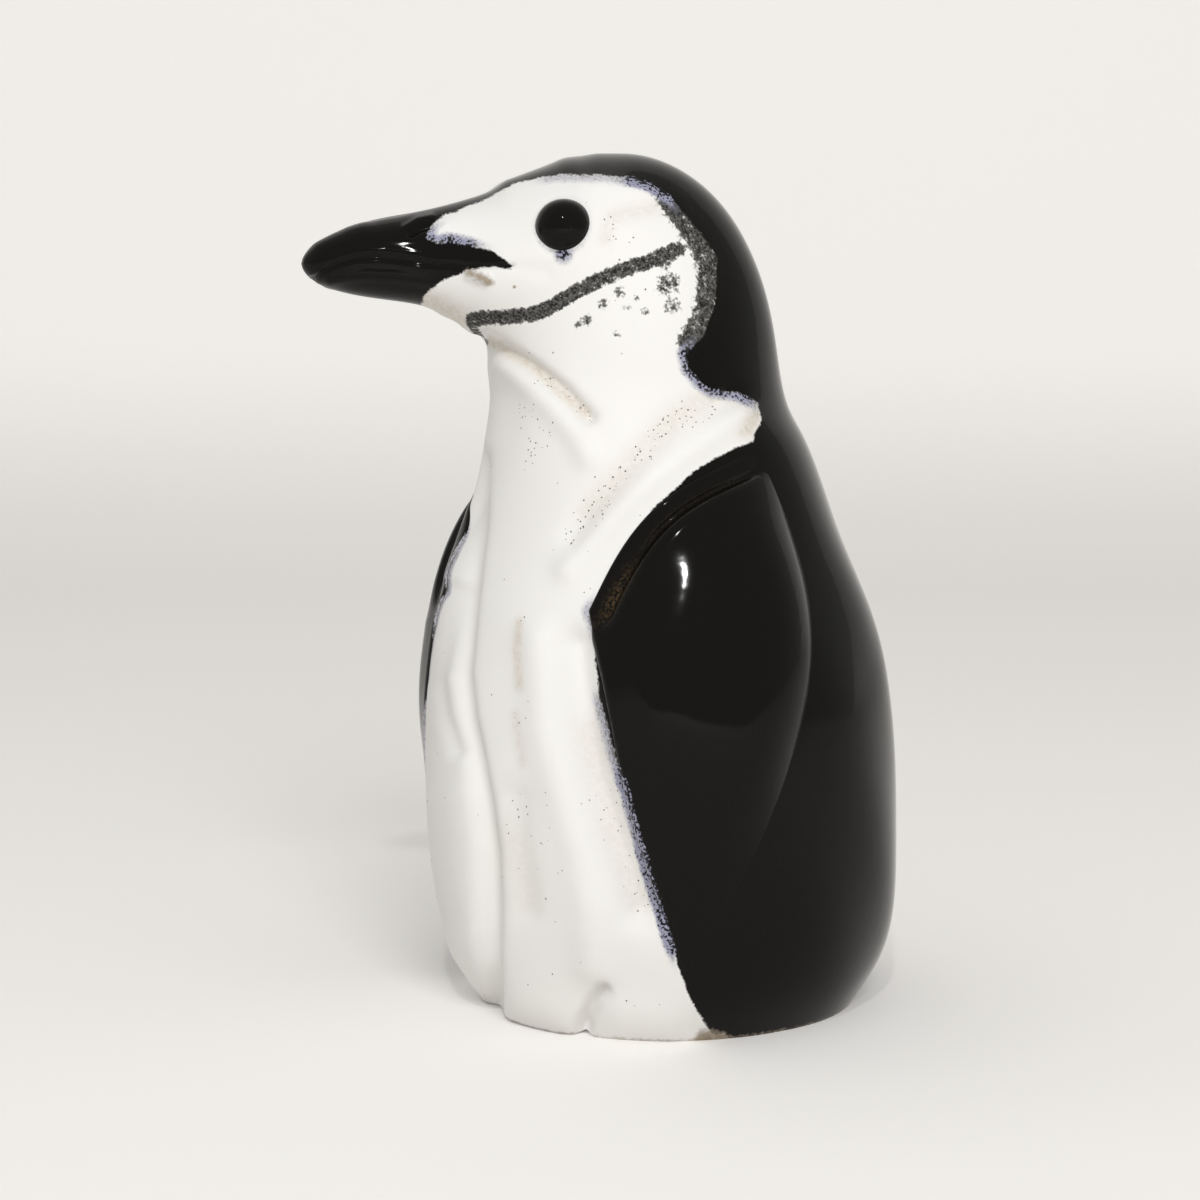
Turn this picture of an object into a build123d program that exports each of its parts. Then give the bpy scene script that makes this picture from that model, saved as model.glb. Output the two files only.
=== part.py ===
"""A hand-built, glazed stoneware figurine of a standing penguin that looks over its right shoulder.

The potter's pieces stay separate solids, each seated on its neighbour face to face: a pinched hollow
body, the slab that closes it underneath, a hollow head and neck, two halves of the bill, two eye
pellets, two flippers and a tail. Millimetres, +Z up, front towards -Y, the figure's left towards +X.
The origin is on the table, under the middle of the body.
"""

import os
from math import cos, radians, sin

from build123d import *

# Body, from the table to the collar
BODY_HEIGHT = 71.0
BODY_WIDTH = 58.2
BODY_DEPTH = 59.4

# Head and neck: depth from throat to nape, width, rise of the neck, round of the throat
HEAD_DEPTH = 36.0
HEAD_WIDTH = 34.5
NECK_RISE = 7.4
THROAT_RADIUS = 8.0
BILL_LENGTH = 15.2
EYE_RADIUS = 4.0

# Clay
WALL = 5.0
SLAB_THICKNESS = 6.0
VENT_RADIUS = 2.5
FLIPPER_THICKNESS = 3.0
FLIPPER_CROWNING = 6.0
FOLD_DEPTH = 1.1
FOLD_ROUND = 2.2
SOFT_FOLD_ROUND = 3.5
HEM_FOLD_ROUND = 1.6
TAIL_WIDTH = 16.0
TAIL_LENGTH = 5.0

# Stance, in degrees: the head turns to the figure's right, and the collar takes half of that turn
HEAD_TURN = 36.0
COLLAR_TURN = HEAD_TURN / 2
LEFT_FLIPPER_ANGLE = 58.0
RIGHT_FLIPPER_ANGLE = 70.0

# Sections of the body: share of its height, of its width and of its depth, and lean over its depth
BODY_FORM = {
    "hem": (0.0, 0.805, 0.805, -0.026),
    "foot": (0.070, 0.905, 0.902, -0.026),
    "belly": (0.380, 1.0, 1.0, -0.003),
    "breast": (0.620, 0.952, 0.950, 0.008),
    "shoulder": (0.831, 0.780, 0.778, 0.021),
    "collar": (1.0, 0.653, 0.660, 0.040),
}
# Sections of the head, fanned about the throat from level to upright: share of its width, of its depth,
# and of the throat's radius
HEAD_FORM = {
    "neck": (1.0, 1.0, 1.0),
    "nape": (0.957, 0.972, 1.01),
    "crown": (0.899, 0.947, 0.96),
    "brow": (0.826, 0.835, 0.89),
    "forehead": (0.667, 0.571, 0.88),
    "lore": (0.487, 0.400, 0.89),
    "bill root": (0.365, 0.322, 0.975),
}
# Sections of the bill: share of its length, of the root's width and depth, and drop over the root's depth
BILL_FORM = {
    "middle": (0.38, 0.78, 0.815, 0.0),
    "hook": (0.72, 0.57, 0.565, 0.03),
    "tip": (1.0, 0.19, 0.17, 0.056),
}
# Mouth line on the bill: share of its length, and rise over the root's depth
MOUTH_FORM = {
    "gape": (-0.05, 0.02),
    "middle": (0.38, 0.073),
    "behind the hook": (0.87, -0.147),
    "under the hook": (1.0, -0.40),
}
# Outline of a flipper, square on: share of the body's depth behind its middle, and of the body's height
FLIPPER_FORM = {
    "top": (0.109, 0.979),
    "slope": (-0.118, 0.894),
    "corner": (-0.259, 0.724),
    "lower front": (-0.205, 0.425),
    "tip": (-0.076, 0.100),
    "lower rear": (0.067, 0.365),
    "rear": (0.189, 0.772),
}
# Thickness of a flipper at the sections of the body, which thins out towards its tip
FLIPPER_TAPER = {"hem": 0.3, "foot": 0.35, "belly": 0.8, "breast": 1.0, "shoulder": 1.0, "collar": 1.0}
# Finger-drawn folds, by marks along them: share of the body's height, degrees from straight ahead, share of
# the folds' depth; a depth under zero lifts the tool clear of the skin
BELLY_FOLD = ((0.93, -8, -0.7), (0.80, -14, 1), (0.64, -12, 1), (0.50, -4, 1), (0.26, 0, 1), (0.01, -6, 1))
WING_FOLD = (
    (0.74, 19, -0.5), (0.63, 21, 0.6), (0.50, 26, 0.8),
    (0.35, 31, 0.8), (0.25, 36, 0.5), (0.18, 38, -0.5),
)
THROAT_FOLD = (
    (1.175, 11, -0.5), (1.15, 18, 0.7), (1.11, 31, 1),
    (1.07, 40, 1), (1.03, 42, 0.5), (0.99, 42, -0.6),
)
SHOULDER_FOLD = (
    (1.055, 112, -0.6), (1.053, 90, 0.6), (1.03, 71, 0.8),
    (0.96, 50, 0.8), (0.85, 24, 0.7), (0.79, 12, -0.9),
)
HEM_FOLD = ((0.14, 31, -0.5), (0.10, 27, 0.4), (0.06, 22, 1), (0.01, 17, 1.1))
# Hollow of the body: share of its height, and share of the body's half width that the wall is taken off
HOLLOW_FORM = {
    "mouth": (0.0, 0.805),
    "belly": (0.380, 1.0),
    "breast": (0.620, 0.94),
    "collar": (1.0, 0.60),
}

NECK_LEAN = 0.0572 * BODY_DEPTH
NECK_HEIGHT = BODY_HEIGHT + NECK_RISE
FAN_REACH = NECK_LEAN + HEAD_DEPTH / 2 + THROAT_RADIUS
FAN_ANGLE = 90.0
BILL_DEPTH = HEAD_DEPTH * HEAD_FORM["bill root"][1]
EYE_ANGLE = 50.4
EYE_SPREAD = 0.655 * HEAD_WIDTH
EYE_SEAT = 0.35 * EYE_RADIUS
SKULL_TOP_ANGLE = 39.0
SKULL_TOP_RADIUS = 0.19 * HEAD_WIDTH
CORNER_ROUND = 0.026 * BODY_DEPTH
UP = Vector(0, 0, 1)


def forward(turn):
    """Level direction that the figure faces after turning to its right."""
    return Vector(-sin(radians(turn)), -cos(radians(turn)), 0)


def body_plane(name):
    """Level section of the body, its X along the direction of the breast."""
    height, _, _, lean = BODY_FORM[name]
    ahead = forward(COLLAR_TURN if name == "collar" else 0.0)
    return Plane(origin=ahead * lean * BODY_DEPTH + UP * height * BODY_HEIGHT, x_dir=ahead, z_dir=UP)


def head_plane(angle, name):
    """Section of the head at an angle of the fan, as far out as the named section lies."""
    _, depth_share, throat_share = HEAD_FORM[name]
    tilt = radians(angle)
    ahead = forward(HEAD_TURN)
    outward = UP * sin(tilt) - ahead * cos(tilt)
    centre = ahead * FAN_REACH + UP * NECK_HEIGHT
    return Plane(
        origin=centre + outward * (throat_share * THROAT_RADIUS + depth_share * HEAD_DEPTH / 2),
        x_dir=outward * -1,
        z_dir=ahead * sin(tilt) + UP * cos(tilt),
    )


BILL_ROOT_PLANE = head_plane(FAN_ANGLE, "bill root")
COLLAR_PLANE = Plane.XY.offset(BODY_HEIGHT)
HEAD_LEFT = Vector(cos(radians(HEAD_TURN)), -sin(radians(HEAD_TURN)), 0)


def oval(plane, width, depth):
    """Oval face on a section."""
    with BuildSketch(plane) as outline:
        Ellipse(depth / 2, width / 2)
    return outline.sketch.face()


def body_ovals(inset=0.0, out=Vector(0, 0, 0)):
    """Sections of the body, drawn in by an inset and moved out through a flipper."""
    faces = []
    for name, (_, width, depth, _) in BODY_FORM.items():
        plane = body_plane(name)
        shift = out * (FLIPPER_TAPER[name] * FLIPPER_THICKNESS + inset)
        moved = Plane(origin=plane.origin + shift, x_dir=plane.x_dir, z_dir=plane.z_dir)
        faces.append(oval(moved, width * BODY_WIDTH - 2 * inset, depth * BODY_DEPTH - 2 * inset))
    return faces


def head_ovals():
    """Sections of the head."""
    faces = []
    for step, (name, (width, depth, _)) in enumerate(HEAD_FORM.items()):
        angle = FAN_ANGLE * step / (len(HEAD_FORM) - 1)
        faces.append(oval(head_plane(angle, name), width * HEAD_WIDTH, depth * HEAD_DEPTH))
    return faces


def bill_ovals():
    """Sections of the bill, upright and ahead of its root."""
    faces = []
    root_width = HEAD_FORM["bill root"][0] * HEAD_WIDTH
    for reach, width, depth, drop in BILL_FORM.values():
        root = BILL_ROOT_PLANE
        centre = root.origin + root.z_dir * reach * BILL_LENGTH - UP * drop * BILL_DEPTH
        plane = Plane(origin=centre, x_dir=root.x_dir, z_dir=root.z_dir)
        faces.append(oval(plane, width * root_width, depth * BILL_DEPTH))
    return faces


# Outer form of the whole figure, in one smooth skin from the hem to the tip of the bill
with BuildPart() as smooth_form:
    loft(sections=body_ovals() + head_ovals() + bill_ovals())


def turn_at(height):
    """How far the form has turned to its right at a height."""
    start = BODY_FORM["shoulder"][0] * BODY_HEIGHT
    return HEAD_TURN * min(max((height - start) / (NECK_HEIGHT - start), 0.0), 1.0)


def fold_line(marks, radius, side=1, further_round=0.0):
    """Path of a round tool along a fold on one side, sunk into the skin by the depths of its marks."""
    points = []
    for share, angle, depth in marks:
        height = share * BODY_HEIGHT
        out = forward(turn_at(height) - side * (angle + further_round))
        hits = smooth_form.part.find_intersection_points(Axis((0, 0, height), out))
        reach = min(out.dot(spot) for spot, _ in hits if out.dot(spot) > 0)
        points.append(UP * height + out * (reach + radius - depth * FOLD_DEPTH))
    if marks[-1][0] < 0.02:
        points.append(points[-1] - UP * radius)
    return points


FLIPPER_SHIFT = RIGHT_FLIPPER_ANGLE - LEFT_FLIPPER_ANGLE
FOLDS = [
    (FOLD_ROUND, fold_line(BELLY_FOLD, FOLD_ROUND)),
    (HEM_FOLD_ROUND, fold_line(HEM_FOLD, HEM_FOLD_ROUND)),
    (SOFT_FOLD_ROUND, fold_line(WING_FOLD, SOFT_FOLD_ROUND)),
    (SOFT_FOLD_ROUND, fold_line(WING_FOLD, SOFT_FOLD_ROUND, -1, FLIPPER_SHIFT)),
    (FOLD_ROUND, fold_line(THROAT_FOLD, FOLD_ROUND)),
    (FOLD_ROUND, fold_line(THROAT_FOLD, FOLD_ROUND, -1)),
    (SOFT_FOLD_ROUND, fold_line(SHOULDER_FOLD, SOFT_FOLD_ROUND)),
    (SOFT_FOLD_ROUND, fold_line(SHOULDER_FOLD, SOFT_FOLD_ROUND, -1)),
]
with BuildPart() as fold_tools:
    for tool_radius, tool_line in FOLDS:
        with BuildLine() as tool_path:
            Spline(*tool_line)
        with BuildSketch(Plane(origin=tool_path.line @ 0, z_dir=tool_path.line % 0)):
            Circle(tool_radius)
        sweep()
with BuildPart() as figure:
    add(smooth_form.part)
    add(fold_tools.part, mode=Mode.SUBTRACT)

# Hollow of the body, thumbed out round an upright axis, and of the head, along the neck
HOLLOW_MIDDLE = Vector(0, body_plane("belly").origin.Y, 0)
with BuildPart() as hollow:
    with BuildSketch(Plane(origin=HOLLOW_MIDDLE, x_dir=(1, 0, 0), z_dir=(0, -1, 0))):
        with BuildLine():
            inner_wall = Polyline(
                *[(wide * BODY_WIDTH / 2 - WALL, high * BODY_HEIGHT) for high, wide in HOLLOW_FORM.values()]
            )
            Polyline(inner_wall @ 1, (0, BODY_HEIGHT), (0, 0), inner_wall @ 0)
        make_face()
    revolve(axis=Axis(HOLLOW_MIDDLE, UP))
    collar_middle = body_plane("collar").origin
    skull_middle = head_plane(SKULL_TOP_ANGLE, "brow").origin
    neck_line = skull_middle - collar_middle
    with Locations(Plane(origin=collar_middle, z_dir=neck_line)):
        Cone(
            HEAD_WIDTH / 2 - WALL,
            SKULL_TOP_RADIUS,
            neck_line.length,
            align=(Align.CENTER, Align.CENTER, Align.MIN),
        )

# Pinched body, open at the collar and underneath
with BuildPart() as body_shell:
    add(figure.part)
    split(bisect_by=COLLAR_PLANE, keep=Keep.BOTTOM)
    add(hollow.part, mode=Mode.SUBTRACT)

# Slab that closes the body, with a vent for firing
with BuildPart() as base_slab:
    add(hollow.part)
    split(bisect_by=Plane.XY.offset(SLAB_THICKNESS), keep=Keep.BOTTOM)
    with Locations((0, BODY_DEPTH / 6, SLAB_THICKNESS / 2)):
        Cylinder(VENT_RADIUS, 2 * SLAB_THICKNESS, mode=Mode.SUBTRACT)


def eye_plane(side):
    """Plane through the middle of an eye ball, facing out of the head on that side."""
    middle = head_plane(EYE_ANGLE, "brow").origin
    return Plane(origin=middle + HEAD_LEFT * side * EYE_SPREAD / 2, z_dir=HEAD_LEFT * side)


# Eye pellets, round in front and pressed flat behind
with BuildPart(eye_plane(1)) as left_eye:
    Sphere(EYE_RADIUS)
    split(bisect_by=eye_plane(1).offset(-EYE_SEAT), keep=Keep.TOP)
with BuildPart(eye_plane(-1)) as right_eye:
    Sphere(EYE_RADIUS)
    split(bisect_by=eye_plane(-1).offset(-EYE_SEAT), keep=Keep.TOP)

# Head and neck, with sockets for the eyes
with BuildPart() as head_shell:
    add(figure.part)
    split(bisect_by=COLLAR_PLANE, keep=Keep.TOP)
    split(bisect_by=BILL_ROOT_PLANE, keep=Keep.BOTTOM)
    add(hollow.part, mode=Mode.SUBTRACT)
    add(left_eye.part, mode=Mode.SUBTRACT)
    add(right_eye.part, mode=Mode.SUBTRACT)

# Space under the mouth line, which dips behind the hook of the upper bill
MOUTH_PLANE = Plane(origin=BILL_ROOT_PLANE.origin, x_dir=BILL_ROOT_PLANE.z_dir, z_dir=HEAD_LEFT * -1)
with BuildPart() as mouth_space:
    with BuildSketch(MOUTH_PLANE):
        with BuildLine():
            mouth_line = Spline(
                *[(reach * BILL_LENGTH, rise * BILL_DEPTH) for reach, rise in MOUTH_FORM.values()]
            )
            Polyline(
                mouth_line @ 1,
                ((mouth_line @ 1).X, -BILL_DEPTH),
                ((mouth_line @ 0).X, -BILL_DEPTH),
                mouth_line @ 0,
            )
        make_face()
    extrude(amount=HEAD_WIDTH / 2, both=True)

# Bill, in two halves that meet along the mouth line
with BuildPart() as upper_bill:
    add(figure.part)
    split(bisect_by=COLLAR_PLANE, keep=Keep.TOP)
    split(bisect_by=BILL_ROOT_PLANE, keep=Keep.TOP)
    add(mouth_space.part, mode=Mode.SUBTRACT)
with BuildPart() as lower_bill:
    add(figure.part)
    split(bisect_by=COLLAR_PLANE, keep=Keep.TOP)
    split(bisect_by=BILL_ROOT_PLANE, keep=Keep.TOP)
    add(mouth_space.part, mode=Mode.INTERSECT)


def flipper_plane(side):
    """Upright plane through the axis, its Z out through the middle of one flipper and its X rearwards."""
    angle = radians(LEFT_FLIPPER_ANGLE if side > 0 else RIGHT_FLIPPER_ANGLE)
    out = Vector(side * sin(angle), -cos(angle), 0)
    rear = Vector(side * cos(angle), sin(angle), 0)
    return Plane(origin=(0, 0, 0), x_dir=rear, z_dir=out)


def flipper_leaf(side):
    """Outline of one flipper on its plane, whose Y points down on the right side."""
    place = {
        name: (behind * BODY_DEPTH, side * height * BODY_HEIGHT)
        for name, (behind, height) in FLIPPER_FORM.items()
    }
    with BuildSketch(flipper_plane(side)) as leaf:
        with BuildLine():
            Spline(place["top"], place["slope"], place["corner"])
            Spline(place["corner"], place["lower front"], place["tip"])
            Spline(place["tip"], place["lower rear"], place["rear"], place["top"])
        make_face()
        fillet(leaf.vertices().sort_by(Axis.X)[0], CORNER_ROUND)
    return leaf.sketch


def flipper_crown(side):
    """Body form drawn in and moved out through one flipper, which gives the slab its domed face."""
    return body_ovals(FLIPPER_CROWNING, flipper_plane(side).z_dir)


# Flippers, shaped to lie on the body
with BuildPart() as left_crown:
    loft(sections=flipper_crown(1))
with BuildPart() as left_flipper:
    extrude(flipper_leaf(1), amount=BODY_WIDTH)
    add(left_crown.part, mode=Mode.INTERSECT)
    add(figure.part, mode=Mode.SUBTRACT)
with BuildPart() as right_crown:
    loft(sections=flipper_crown(-1))
with BuildPart() as right_flipper:
    extrude(flipper_leaf(-1), amount=BODY_WIDTH)
    add(right_crown.part, mode=Mode.INTERSECT)
    add(figure.part, mode=Mode.SUBTRACT)

# Tail, a wedge with a rounded end at the foot of the back
BACK = (BODY_FORM["foot"][2] / 2 - BODY_FORM["foot"][3]) * BODY_DEPTH
TAIL_TOP = 0.24 * BODY_HEIGHT
TAIL_TIP = 0.07 * BODY_HEIGHT
TAIL_UNDER = 0.028 * BODY_HEIGHT
with BuildPart() as tail:
    with BuildSketch(Plane.YZ):
        with BuildLine():
            Polyline(
                (BACK / 2, TAIL_TOP),
                (BACK, TAIL_TOP),
                (BACK + TAIL_LENGTH, TAIL_TIP),
                (BACK + TAIL_LENGTH, TAIL_UNDER),
                (BACK / 2, TAIL_UNDER),
                close=True,
            )
        make_face()
    extrude(amount=TAIL_WIDTH / 2, both=True)
    fillet(tail.edges().filter_by(Axis.Z).group_by(Axis.Y)[-1], 0.4 * TAIL_WIDTH)
    add(figure.part, mode=Mode.SUBTRACT)

PIECES = {
    "body_shell": body_shell,
    "base_slab": base_slab,
    "head_shell": head_shell,
    "upper_bill": upper_bill,
    "lower_bill": lower_bill,
    "left_eye": left_eye,
    "right_eye": right_eye,
    "left_flipper": left_flipper,
    "right_flipper": right_flipper,
    "tail": tail,
}
os.makedirs("parts", exist_ok=True)
for node, piece in PIECES.items():
    piece.part.label = node
    export_step(piece.part, f"parts/{node}.step")
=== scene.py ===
# Penguin figurine: hand-built stoneware under black and white glaze, head turned over its right shoulder.
# Lengths are in mm until a mesh is made. Front is -Y, the figure's left is +X.
import math

import bpy
import numpy as np
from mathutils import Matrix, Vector
from mathutils.bvhtree import BVHTree


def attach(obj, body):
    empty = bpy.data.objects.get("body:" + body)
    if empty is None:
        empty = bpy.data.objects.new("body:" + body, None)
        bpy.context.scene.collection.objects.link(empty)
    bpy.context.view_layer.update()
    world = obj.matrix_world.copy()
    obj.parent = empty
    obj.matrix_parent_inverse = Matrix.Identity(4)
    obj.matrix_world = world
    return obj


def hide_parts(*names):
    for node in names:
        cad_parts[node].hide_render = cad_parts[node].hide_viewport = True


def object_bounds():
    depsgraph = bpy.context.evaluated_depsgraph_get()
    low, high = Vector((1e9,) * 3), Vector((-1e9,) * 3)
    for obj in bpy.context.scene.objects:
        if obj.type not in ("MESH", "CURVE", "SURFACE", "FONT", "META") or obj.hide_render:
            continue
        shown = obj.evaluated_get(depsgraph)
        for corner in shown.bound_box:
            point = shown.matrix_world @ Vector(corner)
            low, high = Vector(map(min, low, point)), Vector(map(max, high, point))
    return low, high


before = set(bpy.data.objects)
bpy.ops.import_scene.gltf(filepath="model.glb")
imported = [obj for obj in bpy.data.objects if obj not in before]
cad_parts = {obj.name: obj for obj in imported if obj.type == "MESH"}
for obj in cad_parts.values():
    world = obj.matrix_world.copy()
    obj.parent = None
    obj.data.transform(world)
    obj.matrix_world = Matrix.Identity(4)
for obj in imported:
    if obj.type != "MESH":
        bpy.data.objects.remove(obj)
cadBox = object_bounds()
mm = 0.001
up = np.array([0.0, 0.0, 1.0])
print("frame loaded:", sorted(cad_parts))


# camera, worked out from the photograph: three-quarter view from the figure's left front
shot = dict(azimuth=42.0, elevation=6.0, distance=330.0, aimHeight=50.0, aimLeft=7.5, span=149.5, pixels=1200)
azimuth, elevation = math.radians(shot["azimuth"]), math.radians(shot["elevation"])
shotRight = np.array([math.cos(azimuth), math.sin(azimuth), 0.0])
shotBack = np.array([math.sin(azimuth) * math.cos(elevation), -math.cos(azimuth) * math.cos(elevation),
                     math.sin(elevation)])
shotUp = np.cross(shotBack, shotRight)
shotAim = up * shot["aimHeight"] - shotRight * shot["aimLeft"]
shotEye = shotAim + shotBack * shot["distance"]
pixelSize = shot["span"] / shot["pixels"]  # mm at the figure's axis


def photoSpot(points):
    # where points land in the photograph, in its pixels
    away = points - shotEye
    focal = shot["distance"] / pixelSize
    depth = -(away @ shotBack)
    middle = shot["pixels"] / 2
    return np.stack([middle + focal * (away @ shotRight) / depth,
                     middle - focal * (away @ shotUp) / depth], -1)


camData = bpy.data.cameras.new("camera")
camData.sensor_width = 36.0
camData.lens = camData.sensor_width * shot["distance"] / shot["span"]
camData.clip_start, camData.clip_end = 0.01, 20.0
camera = bpy.data.objects.new("camera", camData)
camera.location = Vector(shotEye * mm)
camera.rotation_mode = "QUATERNION"
camera.rotation_quaternion = Vector(-shotBack).to_track_quat("-Z", "Y")
bpy.context.scene.collection.objects.link(camera)
bpy.context.scene.camera = camera


# the clay form: oval sections from the hem to the tip of the bill, as shares of a few sizes
form = dict(bodyHeight=71.0, bodyWidth=58.2, bodyDepth=59.4, headWidth=34.5, headDepth=36.0, neckHeight=78.4,
            fanReach=29.4, throatRadius=8.0, billLength=15.2, headTurn=36.0, collarTurn=18.0, wall=5.0)
bodyOvals = dict(  # height, width, depth, lean to the front
    hem=(0.0, 0.805, 0.805, -0.026), foot=(0.070, 0.905, 0.902, -0.026), belly=(0.380, 1.0, 1.0, -0.003),
    breast=(0.620, 0.952, 0.950, 0.008), shoulder=(0.831, 0.780, 0.778, 0.021),
    collar=(1.0, 0.653, 0.660, 0.040))
headOvals = dict(  # width, depth, throat
    neck=(1.0, 1.0, 1.0), nape=(0.957, 0.972, 1.01), crown=(0.899, 0.947, 0.96), brow=(0.826, 0.835, 0.89),
    forehead=(0.667, 0.571, 0.88), lore=(0.487, 0.400, 0.89), billRoot=(0.365, 0.322, 0.975))
billOvals = dict(  # reach, width, depth, drop
    middle=(0.38, 0.78, 0.815, 0.0), hook=(0.72, 0.57, 0.565, 0.03), tip=(1.0, 0.25, 0.22, 0.056))


def facing(turn):
    return np.array([-math.sin(math.radians(turn)), -math.cos(math.radians(turn)), 0.0])


def leftOf(turn):
    return np.array([math.cos(math.radians(turn)), -math.sin(math.radians(turn)), 0.0])


headAhead, headLeft = facing(form["headTurn"]), leftOf(form["headTurn"])
fanCentre = headAhead * form["fanReach"] + up * form["neckHeight"]


def fanSpot(step, section):
    # outward direction of a step of the head's fan, and the middle of the section there
    tilt = math.radians(90.0 * step / (len(headOvals) - 1))
    outward = up * math.sin(tilt) - headAhead * math.cos(tilt)
    _, depth, throat = headOvals[section]
    return outward, fanCentre + outward * (throat * form["throatRadius"] + depth * form["headDepth"] / 2)


ovals = []  # centre, half depth towards the throat, half width towards the left
for name, (height, width, depth, lean) in bodyOvals.items():
    turn = form["collarTurn"] if name == "collar" else 0.0
    ovals.append((facing(turn) * lean * form["bodyDepth"] + up * height * form["bodyHeight"],
                  facing(turn) * depth * form["bodyDepth"] / 2, leftOf(turn) * width * form["bodyWidth"] / 2))
for step, (name, (width, depth, _)) in enumerate(headOvals.items()):
    outward, centre = fanSpot(step, name)
    ovals.append((centre, -outward * depth * form["headDepth"] / 2, headLeft * width * form["headWidth"] / 2))
rootCentre, rootDown, rootLeft = ovals[-1]
for reach, width, depth, drop in billOvals.values():
    centre = rootCentre + headAhead * reach * form["billLength"] + rootDown * 2 * drop
    ovals.append((centre, rootDown * depth, rootLeft * width))
ovals = np.array(ovals)
around16 = np.linspace(0, 2 * math.pi, 16, endpoint=False)[None, :, None]
rings = ovals[:, None, 0] + np.cos(around16) * ovals[:, None, 1] + np.sin(around16) * ovals[:, None, 2]
knots = np.concatenate([[0.0], np.cumsum(np.linalg.norm(np.diff(rings, axis=0), axis=2).mean(1))])
collarKnot, browKnot = knots[len(bodyOvals) - 1], knots[len(bodyOvals) + 3]
rootKnot, tipKnot = knots[-1 - len(billOvals)], knots[-1]


def smoothThrough(values, marks, at):
    # cubic spline through values at their marks, slack at its two ends
    n = len(marks)
    gap = np.diff(marks)
    flat = values.reshape(n, -1)
    system, right = np.eye(n), np.zeros_like(flat)
    for i in range(1, n - 1):
        system[i, i - 1:i + 2] = gap[i - 1], 2 * (gap[i - 1] + gap[i]), gap[i]
        right[i] = 6 * ((flat[i + 1] - flat[i]) / gap[i] - (flat[i] - flat[i - 1]) / gap[i - 1])
    bend = np.linalg.solve(system, right)
    i = np.clip(np.searchsorted(marks, at) - 1, 0, n - 2)
    h = gap[i][:, None]
    a, b = (marks[i + 1] - at)[:, None], (at - marks[i])[:, None]
    out = (bend[i] * a ** 3 + bend[i + 1] * b ** 3) / (6 * h)
    out += (flat[i] / h - bend[i] * h / 6) * a + (flat[i + 1] / h - bend[i + 1] * h / 6) * b
    return out.reshape((len(at),) + values.shape[1:])


def clayForm(along, around, inset=0.0):
    # points of the form for every pair of a place along the spine and an angle round it
    spine = smoothThrough(ovals, knots, along)
    sizes = np.linalg.norm(spine[:, 1:], axis=2, keepdims=True)
    spine[:, 1:] *= np.maximum(sizes - inset, 0.01) / sizes
    ring = np.stack([np.cos(around), np.sin(around)], -1)
    if ring.ndim == 2:
        ring = np.broadcast_to(ring, (len(along),) + ring.shape)
    return spine[:, None, 0] + ring[..., :1] * spine[:, None, 1] + ring[..., 1:] * spine[:, None, 2]


def gridNormals(points, closed):
    # outward normals of a grid, whose columns close on themselves or not
    roundWay = np.roll(points, -1, 1) - np.roll(points, 1, 1) if closed else np.gradient(points, axis=1)
    normal = np.cross(roundWay, np.gradient(points, axis=0))
    return normal / np.maximum(np.linalg.norm(normal, axis=2, keepdims=True), 1e-9)


def lineDistance(spots, line, closed=False):
    # least distance from each spot to a chain of straight runs
    line = np.array(line, float)
    ends = np.roll(line, -1, 0) if closed else line[1:]
    best = np.full(spots.shape[:-1], 1e9)
    for a, b in zip(line if closed else line[:-1], ends):
        run = b - a
        part = np.clip(((spots - a) @ run) / (run @ run), 0, 1)
        best = np.minimum(best, np.linalg.norm(spots - a - part[..., None] * run, axis=-1))
    return best


def insideLine(spots, line):
    line = np.array(line, float)
    inside = np.zeros(spots.shape[:-1], bool)
    for a, b in zip(line, np.roll(line, -1, 0)):
        crosses = (a[1] > spots[..., 1]) != (b[1] > spots[..., 1])
        reach = a[0] + (spots[..., 1] - a[1]) * (b[0] - a[0]) / (b[1] - a[1] + 1e-12)
        inside ^= crosses & (spots[..., 0] < reach)
    return inside


def ease(value, low, high):
    t = np.clip((value - low) / (high - low), 0, 1)
    return t * t * (3 - 2 * t)


def furrow(spots, line, halfWidth):
    return np.exp(-(lineDistance(spots, line) / halfWidth) ** 2)


# finger marks and folds: line in photograph pixels, height in mm, half width in pixels
mouthLine = [(312, 281), (318, 276), (328, 268), (342, 262), (357, 258), (376, 257), (397, 259), (420, 263),
             (436, 265), (451, 264), (466, 266), (489, 267), (512, 266)]
sideFolds = dict(  # alike on both sides
    throatCrease=([(484, 338), (505, 350), (536, 370), (564, 391), (588, 416)], -1.25, 8),
    throatRoll=([(507, 366), (528, 384), (554, 408), (578, 436), (588, 455)], 0.75, 14),
    throatHollow=([(502, 400), (508, 425)], -0.3, 18),
    shoulderGroove=([(728, 399), (700, 405), (677, 416), (636, 459), (590, 510), (574, 534)], -0.6, 14),
    shoulderRoll=([(738, 417), (690, 449), (651, 479), (615, 515), (585, 549), (569, 569)], 0.75, 15),
    wingHollow=([(575, 645), (580, 690), (586, 730), (597, 778), (614, 832), (629, 874),
                 (641, 908)], -2.0, 18),
    temple=([(606, 238), (612, 218), (635, 210), (662, 208)], -0.3, 10),
    browRidge=([(585, 187), (620, 186), (650, 196)], 0.25, 10),
    underEye=([(520, 268), (545, 272)], -0.2, 10),
    mouth=(mouthLine, -0.32, 2.8), upperLip=([(335, 258), (357, 251), (385, 250), (420, 255)], 0.12, 4),
    lowerLip=([(330, 281), (347, 277), (368, 275), (395, 276), (430, 281)], 0.3, 6),
    nostril=([(411, 233), (419, 228), (429, 225)], -0.55, 3.6),
    nostrilRim=([(405, 228), (418, 220), (432, 217)], 0.25, 4),
    gapeLump=([(471, 275), (486, 280)], 0.55, 6),
    culmenDip=([(375, 222), (400, 218)], -0.12, 10),
    culmenAngle=([(350, 229), (362, 226)], 0.08, 8))
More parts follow.
